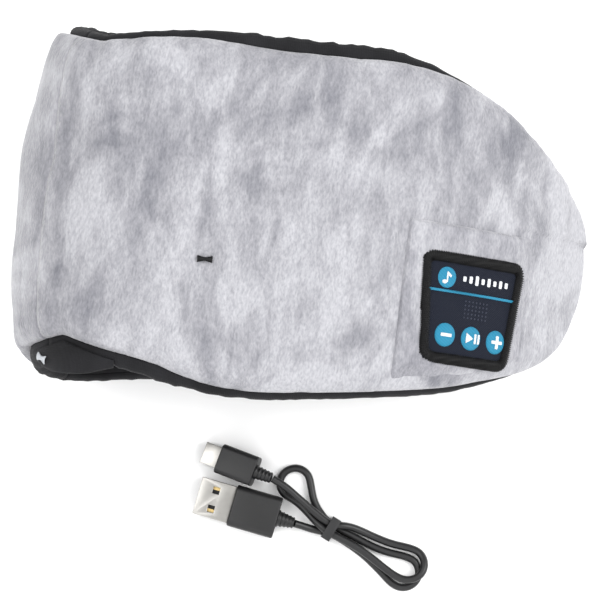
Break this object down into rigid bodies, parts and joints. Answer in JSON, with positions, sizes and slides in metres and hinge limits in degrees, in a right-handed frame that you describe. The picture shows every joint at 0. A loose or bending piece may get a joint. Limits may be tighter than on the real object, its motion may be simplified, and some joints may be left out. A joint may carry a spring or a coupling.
{
  "type": "sleep mask with speakers",
  "caption": "Wrap-around plush sleep mask folded on its side, with a sewn control patch, hidden flat speakers, hook-and-loop strap and a USB charging lead.",
  "frame": {"origin": "middle of the mask's footprint, on the surface it lies on", "axes": "+Z up from the table; +X along the mask, away from the nose bridge fold; +Y is up when the mask is worn, away from the nose notch"},
  "size_m": [0.1703, 0.1628, 0.0705],
  "materials": {
    "plush": "short pile",
    "foam": "open cell",
    "black_knit": "smooth knit",
    "light_thread": "satin thread",
    "black_thread": "overlocked thread",
    "navy_twill": "twill weave",
    "sky_blue_thread": "embroidered",
    "button_blue": "embroidered",
    "white_print": "embroidered",
    "case_plastic": "matte",
    "circuit_board": "solder mask",
    "cell_wrap": "foil",
    "chip_black": "moulded",
    "plated_steel": "bright nickel",
    "brass": "gold flash",
    "led_lens": "clear",
    "speaker_plastic": "matte",
    "speaker_cone": "film",
    "lead_insulation": "satin",
    "elastic_webbing": "ribbed elastic",
    "hook_tape": "hooks",
    "loop_pile": "brushed loop",
    "tongue_plastic": "moulded",
    "cable_rubber": "satin",
    "tie_wire": "coated wire"
  },
  "bodies": {
    "far_half": {"far_front_cover": "plush", "far_foam": "foam", "far_lining": "black_knit", "far_top_binding": "black_knit", "far_bottom_binding": "black_knit", "loop_panel": "loop_pile", "bridge_lead_far": "lead_insulation"},
    "near_half": {"near_front_cover": "plush", "near_foam": "foam", "near_lining": "black_knit", "near_top_binding": "black_knit", "near_bottom_binding": "black_knit", "nose_flap": "black_knit", "nose_flap_tack": "light_thread", "front_tack": "black_thread", "pocket_panel": "plush", "control_patch": "navy_twill", "patch_border": "black_thread", "patch_rule": "sky_blue_thread", "note_badge": "sky_blue_thread", "note_icon": "white_print", "module_case_top": "case_plastic", "module_case_base": "case_plastic", "circuit_board": "circuit_board", "battery": "cell_wrap", "control_chips": "chip_black", "usb_socket": "plated_steel", "tact_switches": "plated_steel", "microphone": "brass", "status_led": "led_lens", "near_speaker_lead": "lead_insulation", "bridge_lead_near": "lead_insulation", "strap_elastic": "elastic_webbing"},
    "strap_tail": {"strap_tail": "elastic_webbing", "hook_tape": "hook_tape"},
    "near_speaker": {"near_speaker_frame": "speaker_plastic", "near_speaker_magnet": "plated_steel", "near_speaker_cone": "speaker_cone"},
    "far_speaker": {"far_speaker_frame": "speaker_plastic", "far_speaker_magnet": "plated_steel", "far_speaker_cone": "speaker_cone"},
    "minus_button": {"minus_button": "button_blue", "minus_icon": "white_print"},
    "play_button": {"play_button": "button_blue", "play_icon": "white_print"},
    "plus_button": {"plus_button": "button_blue", "plus_icon": "white_print"},
    "charging_lead": {"usb_a_shell": "plated_steel", "usb_a_tongue": "tongue_plastic", "usb_a_contacts": "brass", "usb_a_overmould": "cable_rubber", "usb_a_relief": "cable_rubber", "charging_cable": "cable_rubber", "micro_usb_shell": "plated_steel", "micro_usb_tongue": "tongue_plastic", "micro_usb_overmould": "cable_rubber", "micro_usb_relief": "cable_rubber", "cable_tie": "tie_wire"}
  },
  "joints": [
    {"name": "nose_bridge_fold", "type": "hinge", "parent": "far_half", "child": "near_half", "pos_m": [-0.08515, 0, 0.035], "axis": [0, -1, 0], "range_deg": [0, 75]},
    {"name": "strap_stretch", "type": "slide", "parent": "near_half", "child": "strap_tail", "axis": [-1, 0, 0], "range_m": [0, 0.025], "stiffness_N_per_m": 60},
    {"name": "near_speaker_shift", "type": "slide", "parent": "near_half", "child": "near_speaker", "axis": [0.7836, 0, -0.6213], "range_m": [-0.004, 0.004]},
    {"name": "far_speaker_shift", "type": "slide", "parent": "far_half", "child": "far_speaker", "axis": [1, 0, 0], "range_m": [-0.004, 0.004]},
    {"name": "minus_press", "type": "slide", "parent": "near_half", "child": "minus_button", "axis": [-0.5851, 0, -0.811], "range_m": [0, 0.0005], "stiffness_N_per_m": 400},
    {"name": "play_press", "type": "slide", "parent": "near_half", "child": "play_button", "axis": [-0.5851, 0, -0.811], "range_m": [0, 0.0005], "stiffness_N_per_m": 400},
    {"name": "plus_press", "type": "slide", "parent": "near_half", "child": "plus_button", "axis": [-0.5851, 0, -0.811], "range_m": [0, 0.0005], "stiffness_N_per_m": 400},
    {"name": "charging_lead_lift", "type": "slide", "parent": "far_half", "child": "charging_lead", "axis": [0, 0, 1], "range_m": [0, 0.1]}
  ]
}
